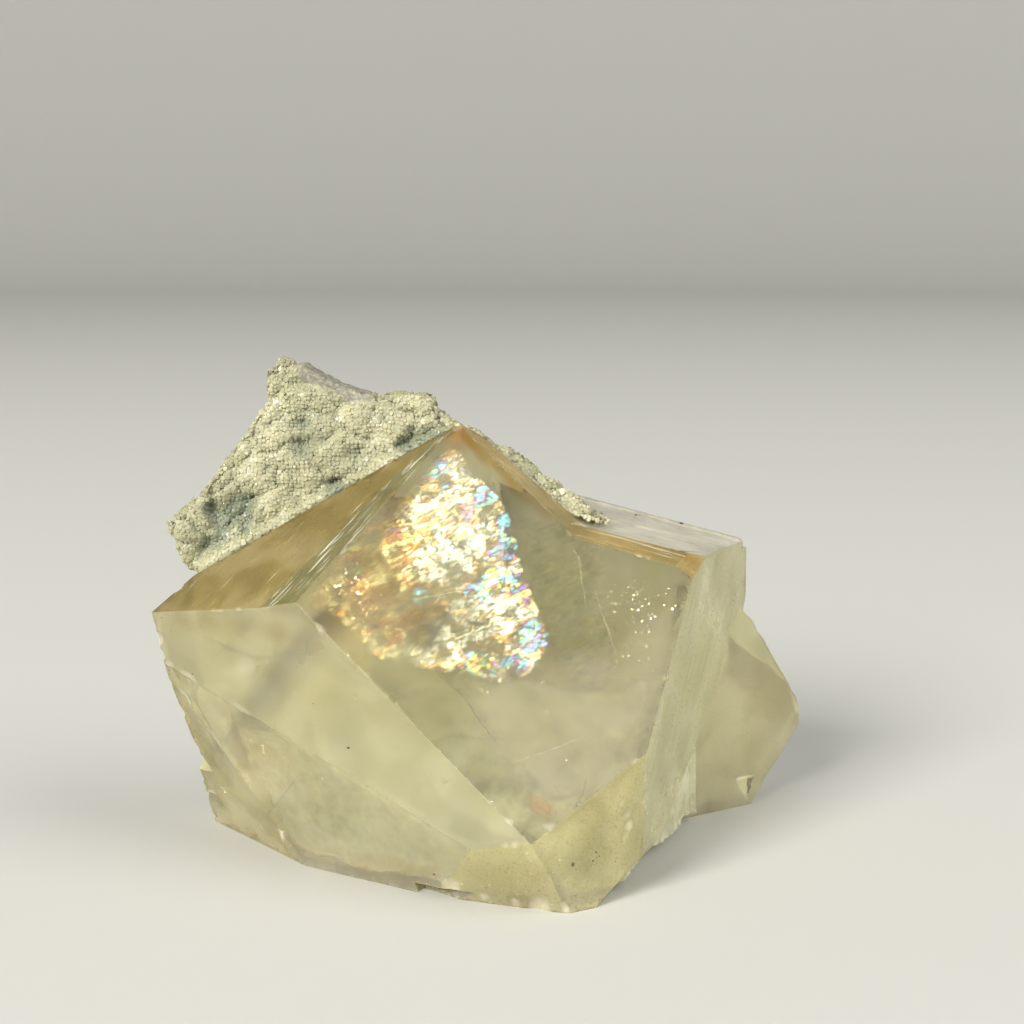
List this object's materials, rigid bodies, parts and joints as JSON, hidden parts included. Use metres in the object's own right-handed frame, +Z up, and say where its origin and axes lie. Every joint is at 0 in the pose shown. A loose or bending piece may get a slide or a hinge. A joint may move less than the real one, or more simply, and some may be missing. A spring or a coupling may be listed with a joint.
{
  "type": "calcite crystal group on chalcedony",
  "caption": "Honey-coloured translucent calcite crystal group with flat faces, grown on a leaning plate of pale sparkling drusy chalcedony.",
  "frame": {"origin": "middle of the specimen's bounding box, on the flat broken face that it rests on", "axes": "+Z up, the large clear window face of the calcite looks towards -Y and up, +X to the right when it is seen from that side"},
  "size_m": [0.0874, 0.0624, 0.0639],
  "materials": {
    "calcite": "clear to hazy honey-yellow crystal, smooth bright faces, iron-stained edges, iridescent inner fracture",
    "chalcedony": "pale grey-green translucent chalcedony under a sugary sparkling quartz druse"
  },
  "bodies": {
    "root": {"calcite": "calcite", "chalcedony": "chalcedony"}
  },
  "joints": []
}
